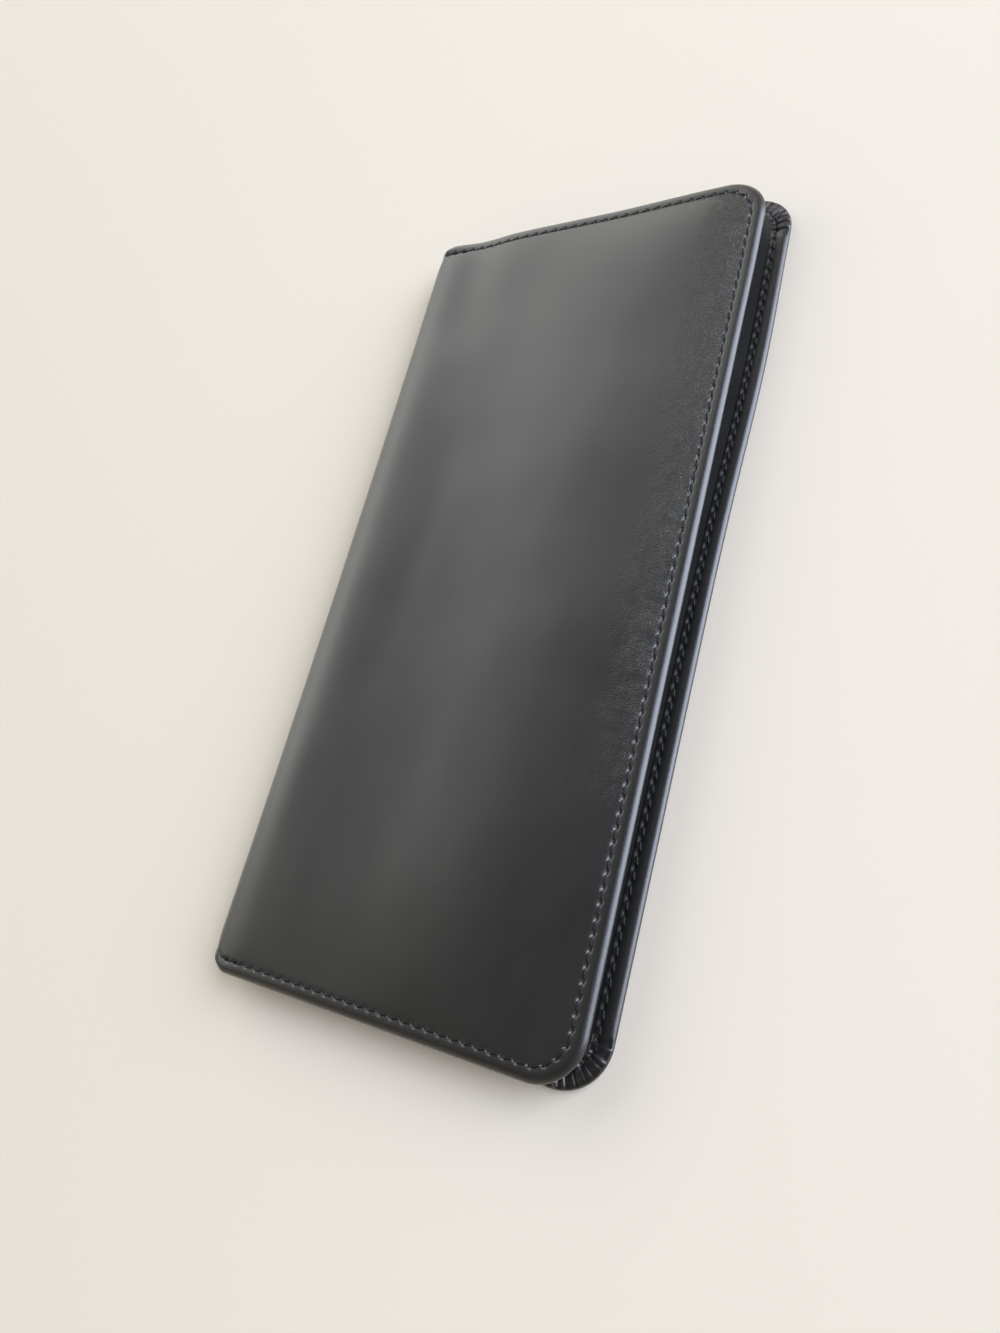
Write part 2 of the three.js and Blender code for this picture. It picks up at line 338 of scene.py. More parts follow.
# Stops are a colour ramp's two, each with its place and colour
def addNode(tree, kind, values=None, links=None, stops=(), **settings):
    made = tree.nodes.new(kind)
    for key, value in settings.items():
        setattr(made, key, value)
    for index, (position, colour) in enumerate(stops):
        made.color_ramp.elements[index].position = position
        made.color_ramp.elements[index].color = linear(colour)
    fillSockets(tree, made, values or {}, links or {})
    return made


def newMaterial(name):
    material = bpy.data.materials.new(name)
    material.use_nodes = True
    tree = material.node_tree
    return material, tree, tree.nodes["Principled BSDF"]


# Aniline-dyed nappa with a thin semi-matt finish: smooth and close-grained, so the eye gets a broad grey
# sheen, fine glinting creases beside the stitches, and edges that handling has polished.
def nappaLeather(name, look):
    material, tree, surface = newMaterial(name)
    flat = addNode(tree, "ShaderNodeAttribute", attribute_name="flat").outputs["Vector"]
    nearSeam = addNode(tree, "ShaderNodeAttribute", attribute_name="nearSeam").outputs["Fac"]
    polish = addNode(tree, "ShaderNodeAttribute", attribute_name="polish").outputs["Fac"]
    cloud = addNode(
        tree, "ShaderNodeTexNoise",
        {"Scale": 1 / look["cloudSize"], "Detail": 4.0, "Roughness": 0.55}, {"Vector": flat},
    ).outputs["Fac"]
    stir = addNode(
        tree, "ShaderNodeTexNoise", {"Scale": 1 / look["stirSize"], "Detail": 2.0}, {"Vector": flat},
    ).outputs["Color"]
    stirred = addNode(
        tree, "ShaderNodeVectorMath", {"Scale": look["stir"]}, {"Vector": stir}, operation="SCALE",
    ).outputs["Vector"]
    bent = addNode(
        tree, "ShaderNodeVectorMath", {}, {0: flat, 1: stirred}, operation="ADD",
    ).outputs["Vector"]
    cells = addNode(
        tree, "ShaderNodeTexVoronoi", {"Scale": 1 / look["grainSize"]}, {"Vector": bent},
        feature="DISTANCE_TO_EDGE",
    ).outputs["Distance"]
    grain = addNode(
        tree, "ShaderNodeMapRange", {"From Min": 0.0, "From Max": 0.22}, {"Value": cells},
        interpolation_type="SMOOTHSTEP",
    ).outputs["Result"]
    spots = addNode(
        tree, "ShaderNodeTexVoronoi", {"Scale": 1 / look["poreSize"], "Randomness": 1.0}, {"Vector": bent},
    ).outputs["Distance"]
    pores = addNode(
        tree, "ShaderNodeMapRange", {"From Min": 0.05, "From Max": 0.2}, {"Value": spots},
        interpolation_type="SMOOTHSTEP",
    ).outputs["Result"]
    streaked = addNode(
        tree, "ShaderNodeMapping",
        {"Rotation": (0, 0, look["creaseLean"]), "Scale": look["creaseScale"]}, {"Vector": bent},
    ).outputs["Vector"]
    fromCentre = addNode(
        tree, "ShaderNodeTexVoronoi", {"Scale": 1.0}, {"Vector": streaked},
    ).outputs["Distance"]
    domes = addNode(
        tree, "ShaderNodeMath", {}, {0: fromCentre, 1: fromCentre}, operation="MULTIPLY",
    ).outputs[0]
    patches = addNode(
        tree, "ShaderNodeTexNoise", {"Scale": 1 / look["patchSize"], "Detail": 2.0}, {"Vector": flat},
    ).outputs["Fac"]
    patchy = addNode(
        tree, "ShaderNodeMapRange",
        {"From Min": 0.3, "From Max": 0.7, "To Min": 0.3, "To Max": 1.3}, {"Value": patches},
    ).outputs["Result"]
    gathered = addNode(
        tree, "ShaderNodeMath", {}, {0: nearSeam, 1: patchy}, operation="MULTIPLY",
    ).outputs[0]
    drawnIn = addNode(
        tree, "ShaderNodeMath", {}, {0: domes, 1: gathered}, operation="MULTIPLY",
    ).outputs[0]
    pitted = addNode(
        tree, "ShaderNodeMath", {1: look["poreDepth"]}, {0: pores}, operation="MULTIPLY",
    ).outputs[0]
    fine = addNode(
        tree, "ShaderNodeMath", {1: look["grainDepth"]}, {0: grain, 2: pitted}, operation="MULTIPLY_ADD",
    ).outputs[0]
    relief = addNode(
        tree, "ShaderNodeMath", {1: -look["creaseDepth"]}, {0: drawnIn, 2: fine}, operation="MULTIPLY_ADD",
    ).outputs[0]
    bump = addNode(
        tree, "ShaderNodeBump", {"Strength": 1.0, "Distance": mm}, {"Height": relief},
    ).outputs["Normal"]
    stops = [(0.3, look["darkColour"]), (0.7, look["paleColour"])]
    shade = addNode(tree, "ShaderNodeValToRGB", {}, {"Fac": cloud}, stops).outputs["Color"]
    dull = addNode(
        tree, "ShaderNodeMapRange",
        {"From Min": 0.3, "From Max": 0.7, "To Min": look["roughLow"], "To Max": look["roughHigh"]},
        {"Value": cloud},
    ).outputs["Result"]
    handled = addNode(
        tree, "ShaderNodeMath", {1: -look["polish"]}, {0: polish, 2: dull}, operation="MULTIPLY_ADD",
    ).outputs[0]
    finish = {
        "IOR": look["ior"], "Coat Weight": look["finish"], "Coat IOR": look["finishIor"],
        "Coat Roughness": look["finishRough"],
    }
    links = {"Base Color": shade, "Roughness": handled, "Normal": bump, "Coat Normal": bump}
    fillSockets(tree, surface, finish, links)
    return material


# Sizes and depths of the grain in mm, the finest drawn coarser than real so that it shows
hideLook = {
    "darkColour": "#141415", "paleColour": "#1b1b1b",
    "cloudSize": 16.0, "stirSize": 1.3, "stir": 0.5, "grainSize": 0.42, "poreSize": 1.2,
    "grainDepth": 0.008, "poreDepth": 0.008, "creaseDepth": 0.15,
    "creaseLean": -0.35, "creaseScale": (2.1, 4.0, 1.0),    # cells to the mm, out from the spine and along it
    "patchSize": 3.0,
    "roughLow": 0.41, "roughHigh": 0.46, "polish": 0.2,     # handled edges are this much less rough
    "ior": 1.5, "finish": 1.0, "finishIor": 1.6, "finishRough": 0.37,
}
pocketLook = {
    **hideLook, "darkColour": "#1a1a1b", "paleColour": "#232323", "grainSize": 0.7, "grainDepth": 0.012,
    "roughLow": 0.5, "roughHigh": 0.6, "finish": 0.3, "finishRough": 0.45,
}


# Polyester twill: fine diagonal ribs of matt yarn with a faint sheen along each.
def liningTwill(name):
    look = {"darkColour": "#101115", "paleColour": "#22242b", "rib": 0.6, "ribDepth": 0.09}
    finish = {"Roughness": 0.7, "Sheen Weight": 0.25, "Sheen Roughness": 0.4}
    material, tree, surface = newMaterial(name)
    flat = addNode(tree, "ShaderNodeAttribute", attribute_name="flat").outputs["Vector"]
    # this scale puts a diagonal wave's ribs 1.4 rib widths apart, coarser than real so that they show
    ribs = addNode(
        tree, "ShaderNodeTexWave",
        {"Scale": math.pi / 10 / look["rib"], "Distortion": 0.6, "Detail": 2.0, "Detail Scale": 3.0},
        {"Vector": flat}, bands_direction="DIAGONAL",
    ).outputs["Fac"]
    stops = [(0.0, look["darkColour"]), (1.0, look["paleColour"])]
    shade = addNode(tree, "ShaderNodeValToRGB", {}, {"Fac": ribs}, stops).outputs["Color"]
    bump = addNode(
        tree, "ShaderNodeBump", {"Strength": 1.0, "Distance": look["ribDepth"] * mm}, {"Height": ribs},
    ).outputs["Normal"]
    fillSockets(tree, surface, finish, {"Base Color": shade, "Normal": bump})
    return material


# Pressed leatherboard: grey-brown fibre, matt, with flecks.
def pressedBoard(name):
    look = {"darkColour": "#57493a", "paleColour": "#7d6b56", "fleck": 1.5}
    material, tree, surface = newMaterial(name)
    spot = addNode(tree, "ShaderNodeTexCoord").outputs["Object"]
    fibres = addNode(
        tree, "ShaderNodeTexNoise",
        {"Scale": 1 / (look["fleck"] * mm), "Detail": 6.0, "Roughness": 0.7}, {"Vector": spot},
    ).outputs["Fac"]
    stops = [(0.35, look["darkColour"]), (0.65, look["paleColour"])]
    shade = addNode(tree, "ShaderNodeValToRGB", {}, {"Fac": fibres}, stops).outputs["Color"]
    bump = addNode(
        tree, "ShaderNodeBump", {"Strength": 0.6, "Distance": 0.1 * mm}, {"Height": fibres},
    ).outputs["Normal"]
    fillSockets(tree, surface, {"Roughness": 0.9}, {"Base Color": shade, "Normal": bump})
    return material


# Bonded polyester thread: black, round and slightly waxy, its plies showing as slanting glints.
def bondedThread(name):
    look = {"darkColour": "#09090a", "paleColour": "#1f1f22", "fibre": 0.25}
    finish = {"Roughness": 0.5, "Specular IOR Level": 0.3}
    material, tree, surface = newMaterial(name)
    spot = addNode(tree, "ShaderNodeAttribute", attribute_name="flat").outputs["Vector"]
    fibres = addNode(
        tree, "ShaderNodeTexNoise", {"Scale": 1 / look["fibre"], "Detail": 3.0}, {"Vector": spot},
    ).outputs["Fac"]
    stops = [(0.3, look["darkColour"]), (0.75, look["paleColour"])]
    shade = addNode(tree, "ShaderNodeValToRGB", {}, {"Fac": fibres}, stops).outputs["Color"]
    bump = addNode(
        tree, "ShaderNodeBump", {"Strength": 0.5, "Distance": 0.05 * mm}, {"Height": fibres},
    ).outputs["Normal"]
    fillSockets(tree, surface, finish, {"Base Color": shade, "Normal": bump})
    return material


hideMaterial = nappaLeather("nappaLeather", hideLook)
pocketMaterial = nappaLeather("paredNappaLeather", pocketLook)
liningMaterial = liningTwill("liningTwill")
boardMaterial = pressedBoard("pressedBoard")
threadMaterial = bondedThread("bondedThread")
for board in ("back_board", "front_board"):
    frame["nodes"][board].data.materials.clear()
    frame["nodes"][board].data.materials.append(boardMaterial)
print("materials made")


# Stitches

# A seam's line on a sheet: its length so far at each station, and the place and inward direction there
def seamLine(base, inward, insets):
    spots = base + np.asarray(insets)[:, None] * inward
    steps = np.hypot(*np.diff(spots, axis=0).T)
    return {"run": np.concatenate([[0], np.cumsum(steps)]), "spots": spots, "inward": inward}


thread = {
    "width": 0.56, "sides": 10, "rings": 11, "plies": 3, "plyDepth": 0.1, "twist": 7.0,
    "share": 0.74,          # of the pitch that a stitch shows, the rest is its holes
    "sits": -0.06,          # its middle lies this far out of the leather's face
    "slant": 0.2,           # a lockstitch leans this much across its line
    "dive": 0.5,            # its ends go this deep, in mm
    "narrow": 0.35,         # and narrow by this share
    "hemProud": 0.1,        # on the hem it stands out this much more
    "tackAside": 0.35, "tackProud": 0.12,   # a seam's first and last stitches are sewn twice, side by side
}


# One tube for each stitch centre along a seam. Side is -1 on a sheet's outer face and 1 on its inner one.
def stitchTubes(line, centres, pitch, depthAt, side, aside=0.0, proud=0.0):
    tau = np.linspace(-1, 1, thread["rings"])
    angles = np.linspace(0, 2 * math.pi, thread["sides"], endpoint=False)
    along = tau * pitch * thread["share"] / 2
    run = np.asarray(centres)[:, None] + along[None, :]

    def onLine(values):
        return np.stack([np.interp(run, line["run"], values[:, axis]) for axis in (0, 1)], -1)

    spots, inward = onLine(line["spots"]), onLine(line["inward"])
    inward = inward / np.linalg.norm(inward, axis=-1, keepdims=True)
    shift = along * thread["slant"] + aside
    middle = spots + shift[None, :, None] * inward
    level = depthAt(run) + side * (proud + thread["sits"] - thread["dive"] * np.abs(tau) ** 5)[None, :]
    plyTurn = thread["plies"] * angles[None, :] - thread["twist"] * tau[:, None]
    lobes = 1 + thread["plyDepth"] * np.cos(plyTurn)
    narrowed = 1 - thread["narrow"] * np.abs(tau) ** 6
    radius = thread["width"] / 2 * lobes * narrowed[:, None]
    ring = middle[:, :, None, :] + (radius * np.cos(angles))[None, :, :, None] * inward[:, :, None, :]
    depth = level[:, :, None] + (radius * np.sin(angles))[None]
    index = np.arange(depth.size).reshape(depth.shape)
    a, b = index[:, :-1, :], index[:, 1:, :]
    quads = np.stack([a, np.roll(a, -1, 2), np.roll(b, -1, 2), b], -1).reshape(-1, 4)
    caps = [*index[:, 0, ::-1].tolist(), *index[:, -1, :].tolist()]
    flat = np.stack(np.broadcast_arrays(run[:, :, None], angles * thread["width"] / 2, side * 3.0), -1)
    return {
        "p": ring[..., 0].ravel(), "q": ring[..., 1].ravel(), "depth": depth.ravel(),
        "faces": quads.tolist() + caps, "flat": flat.reshape(-1, 3),
    }


def threadPiece(name, leaf, runs, toSheet, turned=False):
    points, faces, flat, count = [], [], [], 0
    for run in runs:
        a, v, depth = toSheet(run["p"], run["q"], run["depth"])
        points.append(place(leaf, a, v, depth))
        faces.extend([[spot + count for spot in face] for face in run["faces"]])
        flat.append(run["flat"])
        count += len(points[-1])
    attributes = {"flat": np.concatenate(flat)}
    mirrored = leaf["top"] != turned
    piece = meshPiece(name, np.concatenate(points), faces, [], attributes, threadMaterial, mirrored)
    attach(piece, leaf["body"])


# Covers: each half of the hide from the middle of the spine, turned over its rim into a sewn hem

cover = {
    "rollSteps": 128, "flatSteps": 352, "cornerSteps": 192, "endSteps": 832,
    "gridInset": 8.0,       # the mesh is a grid inside this, and rings round the edge outside it
    "seamRings": (5.05, 4.75, 4.5, 4.25, 4.05, 3.85, 3.65, 3.45, 3.25, 3.05, 2.8, 2.55),
    "hemRings": (1.9, 2.3, 2.8, 3.2, 3.5, 3.8, 4.1, 4.4, 4.7),
    "rimSteps": 12,
    "rimFace": 1.25,        # 1 is an ellipse, and more flattens the rim's upper face
    "spineFrom": 0.2, "spineTo": 2.3,       # depths that the rim takes up at the middle of the spine
    "spineDrop": 0.8,       # and its hem lies this much lower there, with no board under it
    "seamInset": 3.4,       # of the stitches from the near and far edges
    "freeSeamInset": 3.6,   # and from the free edge
    "stitch": 3.25,
    "groove": 0.12, "grooveWidth": 0.6,
    "edgeFall": 0.12,       # outside the seam the hide falls away to the rim by this
    "valley": 0.25,         # the front leaf's hide stands this much over its rim beside the spine
    "crest": 1.4, "crestFrom": 28.0, "crestTo": 90.0,       # and this much towards the free edge
    "freeReach": 9.5, "nearReach": 9.0, "farReach": 5.0,    # it comes down to the seams over these lengths
    "bulge": 1.2, "bulgeReach": 27.0,       # along the spine it stays this much fuller, this far in
    "bulgeAt": 15.0, "bulgeLength": 85.0,
    "bulgeNarrows": 9.0,    # and less far in towards the far end
    "shoulder": 0.6, "shoulderReach": 9.0,  # and slopes down to the spine's roll
    "backSink": 0.12, "backSoft": 0.25,     # the back leaf's hide is drawn in, with a share of the swell
    "pucker": 0.06, "hemPucker": 0.3,       # the leather gathers at each needle hole, inside the seam
    "puckerWidth": 0.7,
    "hole": 0.55, "holeLength": 0.5,        # of the needle at each end of a stitch
    "holeInside": 0.17, "holeOutside": 0.36, "holeLean": 0.5,
    "swell": 0.18, "swellLength": 58.0,
    "ripple": 0.02, "rippleLength": 19.0,
    "tucks": 8, "tuckDepth": 0.5, "tuckFade": 3.0,
    "creaseBand": 10.0,     # fine creases fade out this far inside the free edge's seam
    "creaseNear": -95.0, "creaseFar": 80.0, "creaseMore": 0.6,      # and deepen towards the far end
}


# Skin runs from 1 on the outer face over the edge to -1 on the hem, and is 0 inside the fold.
# Steps are 1 along the seam, where each needle hole is shaped, and coarser away from it.
def coverProfile(leaf):
    rimRound, edge = leaf["edgeRound"], wallet["hemWidth"]
    low, high = leaf["edgeFrom"], leaf["edgeTo"]
    inner = [inset for inset in cover["hemRings"] if inset > rimRound + 0.2]
    centre, half = (low + high) / 2, (high - low) / 2
    fold = half - (wallet["hide"] + wallet["hem"]) / 2
    middle = centre + (wallet["hide"] - wallet["hem"]) / 2
    bend = wallet["hide"] + fold

    def thinned(inset):
        return 1 - float(smooth(rimRound, cover["seamInset"], inset))

    def flattened(share, t):
        return share ** cover["rimFace"] if t < math.pi / 2 else share

    def outerFace(inset):
        return low * thinned(inset)

    def hemFace(inset):
        return wallet["rimHeight"] - (wallet["rimHeight"] - high) * thinned(inset)

    def hemBack(inset):
        return hemFace(inset) - wallet["hem"]

    rim = []
    for step in range(1, cover["rimSteps"] + 1):
        t = math.pi * step / cover["rimSteps"]
        inset = rimRound - rimRound * flattened(math.sin(t), t)
        rim.append((inset, centre - half * flattened(math.cos(t), t), 2, math.cos(t)))
    return [
        (cover["gridInset"], 0, 8, 1),
        (7.4, 0, 4, 1),
        *[(inset, 0, 2, 1) for inset in (6.8, 6.1, 5.5)],
        *[(inset, outerFace(inset), 1, 1) for inset in cover["seamRings"]],
        *[(inset, outerFace(inset), 2, 1) for inset in np.linspace(2.3, rimRound, 3)],
        *rim,
        *[(inset, hemFace(inset), 2, -1) for inset in inner],
        (edge - 0.1, hemFace(edge) - 0.04, 2, -1),
        (edge, hemFace(edge) - 0.18, 2, -1),
        (edge, hemBack(edge) + 0.15, 2, 0),
        (edge - 0.1, hemBack(edge) + 0.02, 2, 0),
        (4.0, hemBack(4.0), 4, 0),
        (bend, hemBack(bend), 8, 0),
        *[(bend - fold * math.sin(t), middle + fold * math.cos(t), 8, 0) for t in (0.8, 1.57, 2.34)],
        (bend, outerFace(bend) + wallet["hide"], 8, 0),
        (4.0, wallet["hide"], 8, 0),
        (cover["gridInset"], wallet["hide"], 8, 0),
    ]


def coverSheet(leaf):
    reach = leaf["roll"] + wallet["leafWidth"]
    stops = np.concatenate([
        np.linspace(0, leaf["roll"], cover["rollSteps"] + 1)[:-1],
        np.linspace(leaf["roll"], reach - wallet["cornerRadius"], cover["flatSteps"] + 1),
    ])
    return {
        "reach": reach, "half": leafLength / 2, "radius": wallet["cornerRadius"], "stops": stops,
        "cornerSteps": cover["cornerSteps"], "endSteps": cover["endSteps"],
    }


# The seam's inset at each station: wider along the free edge, changing over the corners
def coverSeam(made):
    towardsFree = smooth(0.1, 0.9, np.abs(made["inward"][:, 0]))
    insets = cover["seamInset"] + (cover["freeSeamInset"] - cover["seamInset"]) * towardsFree
    return insets, seamLine(made["base"], made["inward"], insets)


# From 0 just outside the seam to 1 just inside it
def insideSeam(beside):
    return smooth(-0.4, 0.3, beside)


# How far the hide's outer face lies in from the plain leaf
def outerDepth(leaf, sheet, p, q, inset, seamInset, phase):
    u = p - leaf["roll"]
    beside = inset - seamInset
    sewn = smooth(-1.5, 1.0, u)
    groove = cover["groove"] * np.exp(-(beside / cover["grooveWidth"]) ** 2)
    pucker = cover["pucker"] * np.cos(2 * math.pi * phase) * np.exp(-(beside / cover["puckerWidth"]) ** 2)
    pucker = pucker * insideSeam(beside)
    along = (phase - np.round(phase)) * cover["stitch"]
    across = beside + cover["holeLean"] * along
    width = np.where(across > 0, cover["holeInside"], cover["holeOutside"])
    holes = cover["hole"] * np.exp(-(along / cover["holeLength"]) ** 2 - (across / width) ** 2)
    outside = np.clip(1 - inset / seamInset, 0, 1)
    depth = sewn * (groove + pucker + holes + cover["edgeFall"] * outside ** 1.5)
    soft = cover["swell"] * waves(p, q, cover["swellLength"], leaf["swellSeed"])
    soft = soft + cover["ripple"] * waves(p, q, cover["rippleLength"], leaf["seed"] + 1)
    if not leaf["top"]:
        # the back leaf lies on this face, so its hide doesn't swell out
        drawnIn = cover["backSink"] + cover["backSoft"] * soft
        return depth + smooth(2, 11, inset) * smooth(-2, 6, u) * drawnIn
    fromFree = np.clip(sheet["reach"] - p - cover["freeSeamInset"], 0, None)
    fromEnd = np.clip(sheet["half"] - np.abs(q) - cover["seamInset"], 0, None)
    endReach = np.where(q < 0, cover["nearReach"], cover["farReach"])
    held = (1 - np.exp(-fromFree / cover["freeReach"])) * (1 - np.exp(-fromEnd / endReach))
    bulge = cover["bulge"] * np.exp(-((q - cover["bulgeAt"]) / cover["bulgeLength"]) ** 2)
    narrowing = cover["bulgeNarrows"] * smooth(30, 105, q)
    bulge = bulge * smooth(-leaf["roll"], 4, u) * (1 - smooth(3, cover["bulgeReach"], u + narrowing))
    towardsCrest = smooth(cover["crestFrom"], cover["crestTo"], u)
    full = cover["valley"] + (cover["crest"] - cover["valley"]) * towardsCrest
    shoulder = cover["shoulder"] * np.clip(1 - u / cover["shoulderReach"], 0, 1) ** 2
    shoulder = shoulder * smooth(-leaf["roll"], 0, u)
    return depth - held * (bulge + smooth(-3, 6, u) * (full + soft)) + smooth(0, 4, inset) * shoulder


# How far the hem's face is drawn in: the seam's groove, and the tucks gathered round the free corners
def hemDepth(made, sheet, leaf, p, inset, seamInset, phase, station):
    beside = inset - seamInset
    pucker = cover["hemPucker"] * np.cos(2 * math.pi * phase) * insideSeam(beside)
    groove = (cover["groove"] + pucker) * np.exp(-(beside / cover["puckerWidth"]) ** 2)
    groove = groove * smooth(-1, 1.5, p - leaf["roll"])
    edgeRun = seamLine(made["base"], made["inward"], np.zeros(len(made["base"])))["run"]
    run = np.interp(station, np.arange(len(edgeRun)), edgeRun)
    arc = math.pi / 2 * wallet["cornerRadius"]
    tuck = arc / cover["tucks"]
    first = sheet["reach"] - wallet["cornerRadius"]
    gathered = 0
    for start in (first, edgeRun[-1] - first - arc):
        beyond = np.abs(run - start - arc / 2) - arc / 2
        near = 1 - smooth(0, cover["tuckFade"], beyond)
        # no two tucks are alike in width or depth
        along = (run - start) / tuck + 0.16 * np.sin(run * 1.7 + leaf["seed"]) + 0.1 * np.sin(run * 0.9)
        ridge = np.sin(math.pi * along) ** 16 * (0.65 + 0.35 * np.sin(run * 2.3 + leaf["seed"]))
        gathered = gathered + near * (cover["tuckDepth"] * (1 - ridge) - 0.1)
    return groove + gathered * smooth(0.1, 1.0, inset)


def coverPiece(name, leaf):
    sheet = coverSheet(leaf)
    made = sewnSheet(sheet, coverProfile(leaf))
    insets, line = coverSeam(made)
    stations = np.arange(len(insets))
    station = np.clip(made["station"], 0, None)
    onRoll = cover["rollSteps"] + 2
    first = np.interp(leaf["roll"], made["base"][:onRoll, 0], line["run"][:onRoll])
    sewnRun = line["run"][-1] - 2 * first
    count = round(sewnRun / cover["stitch"])
    pitch = sewnRun / count
    runAt = np.interp(station, stations, line["run"])
    onRing = made["station"] >= 0
    phase = (runAt - first) / pitch
    seamInset = np.where(onRing, np.interp(station, stations, insets), cover["seamInset"])
    p, q, inset, depth = made["p"], made["q"], made["inset"], made["depth"]
    outerShare = np.clip(made["skin"], 0, 1)
    hemShare = onRing * smooth(0.0, 0.9, -made["skin"])
    towardsSpine = 1 - smooth(0, leaf["roll"], p)
    thinned = onRing * (1 - smooth(leaf["edgeRound"], cover["seamInset"], inset)) * towardsSpine
    towardsHem = (1 - made["skin"]) / 2
    outerShift = (cover["spineFrom"] - leaf["edgeFrom"]) * (1 - towardsHem)
    hemShift = (cover["spineTo"] - leaf["edgeTo"]) * towardsHem
    depth = depth + thinned * (outerShift + hemShift)
    depth = depth - cover["spineDrop"] * onRing * towardsSpine * smooth(1.0, 2.5, depth)
    drawn = outerShare * outerDepth(leaf, sheet, p, q, inset, seamInset, phase)
    drawn = drawn - hemShare * hemDepth(made, sheet, leaf, p, inset, seamInset, phase, station)
    points = place(leaf, p, q, depth + drawn)
    fromFree = np.clip(sheet["reach"] - p - cover["freeSeamInset"], 0, None)
    inside = smooth(-0.4, 0.4, inset - seamInset)
    nearSeam = outerShare * inside * np.exp(-(fromFree / cover["creaseBand"]) ** 2)
    fartherOn = cover["creaseMore"] * smooth(0, cover["creaseFar"], q)
    nearSeam = nearSeam * (smooth(cover["creaseNear"], 0, q) + fartherOn)
    polish = 1 - smooth(1.0, 2.2, inset)
    attributes = {"flat": flatCoordinates(made, leaf["seed"]), "nearSeam": nearSeam, "polish": polish}
    piece = meshPiece(name, points, made["faces"], [made["mouth"]], attributes, hideMaterial, leaf["top"])
    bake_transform(piece)

    # the seam goes through: its stitches show on the outer face and on the hem
    centres = first + (np.arange(count) + 0.5) * pitch
    lineStations = np.interp(centres, line["run"], stations)

    # the faces that stitches lie on: midway between holes, and clear of the hem's puckers
    def outerLevel(run):
        at = np.interp(run, line["run"], stations)
        spots = [np.interp(run, line["run"], line["spots"][:, axis]) for axis in (0, 1)]
        seam = np.interp(at, stations, insets)
        return outerDepth(leaf, sheet, *spots, seam, seam, np.full(run.shape, 0.5))

    def hemLevel(run):
        at = np.interp(run, line["run"], stations)
        spot = np.interp(run, line["run"], line["spots"][:, 0])
        seam = np.interp(at, stations, insets)
        return wallet["rimHeight"] - hemDepth(made, sheet, leaf, spot, seam, seam, 0.25, at)

    inHem = centres[line["spots"][lineStations.astype(int), 0] > leaf["roll"] + 2]
    tacks = np.concatenate([centres[:2] + pitch / 2, centres[-2:] - pitch / 2])
    runs = [
        stitchTubes(line, centres, pitch, outerLevel, -1),
        stitchTubes(line, tacks, pitch, outerLevel, -1, thread["tackAside"], thread["tackProud"]),
        stitchTubes(line, inHem, pitch, hemLevel, 1, proud=thread["hemProud"]),
    ]
    threadPiece(name.replace("Hide", "SeamThread"), leaf, runs, lambda p, q, depth: (p, q, depth))
    print(name, "made with", len(points), "points and", count, "stitches")
    return piece


# How far either side of its line each fold's stretch reaches, in mm
foldReach = {"spine_fold": 3.0, "front_fold": 1.7}


# The stretch about a fold's line, from the spine's side to the flat of the leaf
def foldSpan(leaf, fold):
    at = Vector(next(joint["pos_m"] for joint in frame["joints"] if joint["name"] == fold))
    middle, flat = place(leaf, np.array([0.0, leaf["roll"]]), np.zeros(2), np.full(2, wallet["hide"] / 2))
    along = Vector(flat) - Vector(middle)
    along.y = 0
    along.normalize()
    return at - along * foldReach[fold] * mm, at + along * foldReach[fold] * mm


backSpine, backFlat = foldSpan(backLeaf, "spine_fold")
frontSpine, frontFlat = foldSpan(frontLeaf, "front_fold")
backHide = coverPiece("backHide", backLeaf)
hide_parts("back_cover", "spine_hide")
frontHide = coverPiece("frontHide", frontLeaf)
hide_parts("front_cover")


# Linings: cloth glued over each board, from the middle of the spine to under the hem

liningCut = {
    "rollSteps": 20, "startSteps": 16, "flatSteps": 44, "cornerSteps": 16, "endSteps": 104,
    "rings": (7.0, 6.0, 5.4, 5.1, 4.8, 4.5, 3.0, 1.0, 0.0),
    "startLength": 4.0,     # of the finer steps where the cloth climbs on to the board
    "boardStart": 1.8, "climb": 0.8,        # it is up there from this far out on the leaf
    "rampInset": 4.5, "ramp": 0.9,          # and comes down again before the edge
}


def liningPiece(name, leaf):
    edge = wallet["borderInset"]
    reach = leaf["roll"] + wallet["leafWidth"] - edge
    radius = wallet["cornerRadius"] - edge
    startEnd = leaf["roll"] + liningCut["startLength"]
    stops = np.concatenate([
        np.linspace(0, leaf["roll"], liningCut["rollSteps"] + 1)[:-1],
        np.linspace(leaf["roll"], startEnd, liningCut["startSteps"] + 1)[:-1],
        np.linspace(startEnd, reach - radius, liningCut["flatSteps"] + 1),
    ])
    sheet = {
        "reach": reach, "half": leafLength / 2 - edge, "radius": radius, "stops": stops,
        "cornerSteps": liningCut["cornerSteps"], "endSteps": liningCut["endSteps"],
    }
    low, high = wallet["liningSeat"], wallet["liningSeat"] + wallet["lining"]
    rings = liningCut["rings"]
    profile = [(inset, low, 1, 1) for inset in rings] + [(inset, high, 1, 1) for inset in rings[::-1]]
    made = sewnSheet(sheet, profile)
    u = made["p"] - leaf["roll"]
    rampEnd = liningCut["rampInset"] + liningCut["ramp"]
    onBoard = smooth(liningCut["boardStart"] - liningCut["climb"], liningCut["boardStart"], u)
    onBoard = onBoard * smooth(liningCut["rampInset"], rampEnd, made["inset"])
    depth = made["depth"] + onBoard * (wallet["boardTop"] - low)
    points = place(leaf, made["p"], made["q"], depth)
    attributes = {"flat": flatCoordinates(made, leaf["seed"])}
    piece = meshPiece(name, points, made["faces"], [made["mouth"]], attributes, liningMaterial, leaf["top"])
    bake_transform(piece)
    return piece


backLining = liningPiece("backLining", backLeaf)
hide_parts("back_lining", "spine_lining")
frontLining = liningPiece("frontLining", frontLeaf)
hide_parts("front_lining")
print("linings made")


# Pockets

